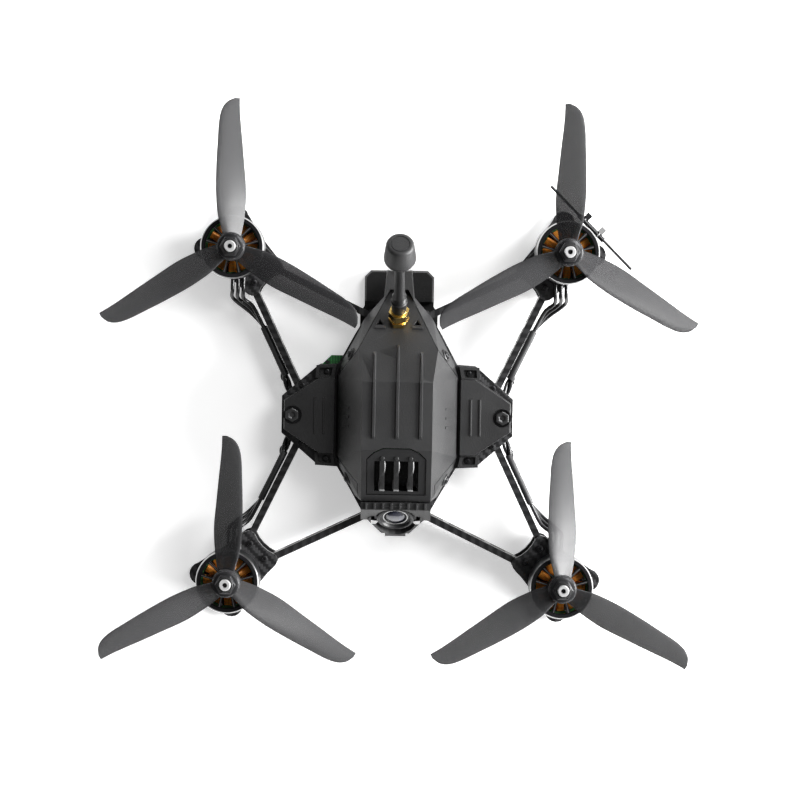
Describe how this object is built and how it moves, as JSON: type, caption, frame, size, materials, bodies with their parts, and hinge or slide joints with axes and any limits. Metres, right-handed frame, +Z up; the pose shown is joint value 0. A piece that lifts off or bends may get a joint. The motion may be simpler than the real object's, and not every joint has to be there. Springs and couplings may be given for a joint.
{
  "type": "quadcopter drone",
  "caption": "Small racing drone with a faceted pod, upright carbon arms, outrunner motors, three-bladed propellers, a tilting nose camera and a leaning antenna.",
  "frame": {"origin": "centre of the flat underside of the battery tray, midway between the four motor axes", "axes": "+Z up along the motor axes; the nose and camera face -Y and the antenna leans towards +Y; the drone's own left is +X"},
  "size_m": [0.2616, 0.2462, 0.0812],
  "materials": {
    "carbon": "woven carbon fibre, satin",
    "moulded_plastic": "fine textured moulding",
    "tray_plastic": "fine textured moulding",
    "grille_plastic": "satin",
    "mast_rubber": "smooth",
    "lead_insulation": "glossy leads in a dull sleeve",
    "black_metal": "black anodised, bright at worn edges",
    "bolt_steel": "machined",
    "brass": "bright plated",
    "copper_windings": "enamelled copper",
    "smoke_plastic": "smoky translucent",
    "lens_glass": "black ring with coated glass",
    "circuit_board": "green solder mask"
  },
  "bodies": {
    "frame": {"battery_tray": "tray_plastic", "bottom_plate": "carbon", "top_plate": "carbon", "arm_front_left": "carbon", "brace_front_left": "carbon", "motor_plate_front_left": "carbon", "foot_plate_front_left": "carbon", "motor_base_front_left": "black_metal", "stator_front_left": "copper_windings", "motor_leads_front_left": "lead_insulation", "arm_front_right": "carbon", "brace_front_right": "carbon", "motor_plate_front_right": "carbon", "foot_plate_front_right": "carbon", "motor_base_front_right": "black_metal", "stator_front_right": "copper_windings", "motor_leads_front_right": "lead_insulation", "arm_rear_left": "carbon", "brace_rear_left": "carbon", "motor_plate_rear_left": "carbon", "foot_plate_rear_left": "carbon", "motor_base_rear_left": "black_metal", "stator_rear_left": "copper_windings", "motor_leads_rear_left": "lead_insulation", "arm_rear_right": "carbon", "brace_rear_right": "carbon", "motor_plate_rear_right": "carbon", "foot_plate_rear_right": "carbon", "motor_base_rear_right": "black_metal", "stator_rear_right": "copper_windings", "motor_leads_rear_right": "lead_insulation", "canopy": "moulded_plastic", "lower_shell": "moulded_plastic", "wing_cover_left": "moulded_plastic", "wing_cover_right": "moulded_plastic", "camera_mount": "moulded_plastic", "wing_bolt_left": "bolt_steel", "wing_bolt_right": "bolt_steel", "intake_grille": "grille_plastic", "antenna_connector": "brass", "antenna_mast": "mast_rubber", "antenna_cap": "moulded_plastic", "flight_controller": "circuit_board", "video_transmitter": "circuit_board", "receiver_board": "circuit_board", "receiver_antenna": "mast_rubber"},
    "rotor_front_left": {"bell_front_left": "black_metal", "propeller_front_left": "smoke_plastic", "prop_nut_front_left": "black_metal"},
    "rotor_front_right": {"bell_front_right": "black_metal", "propeller_front_right": "smoke_plastic", "prop_nut_front_right": "black_metal"},
    "rotor_rear_left": {"bell_rear_left": "black_metal", "propeller_rear_left": "smoke_plastic", "prop_nut_rear_left": "black_metal"},
    "rotor_rear_right": {"bell_rear_right": "black_metal", "propeller_rear_right": "smoke_plastic", "prop_nut_rear_right": "black_metal"},
    "camera": {"camera_body": "black_metal", "camera_lens": "lens_glass"}
  },
  "joints": [
    {"name": "rotor_spin_front_left", "type": "hinge", "parent": "frame", "child": "rotor_front_left", "pos_m": [0.0735, -0.0735, 0.0178], "axis": [0, 0, 1], "continuous": true},
    {"name": "rotor_spin_front_right", "type": "hinge", "parent": "frame", "child": "rotor_front_right", "pos_m": [-0.0735, -0.0735, 0.0178], "axis": [0, 0, 1], "continuous": true},
    {"name": "rotor_spin_rear_left", "type": "hinge", "parent": "frame", "child": "rotor_rear_left", "pos_m": [0.0735, 0.0735, 0.0178], "axis": [0, 0, 1], "continuous": true},
    {"name": "rotor_spin_rear_right", "type": "hinge", "parent": "frame", "child": "rotor_rear_right", "pos_m": [-0.0735, 0.0735, 0.0178], "axis": [0, 0, 1], "continuous": true},
    {"name": "camera_tilt", "type": "hinge", "parent": "frame", "child": "camera", "pos_m": [0, -0.0387, 0.0266], "axis": [-1, 0, 0], "range_deg": [-12, 6]}
  ]
}
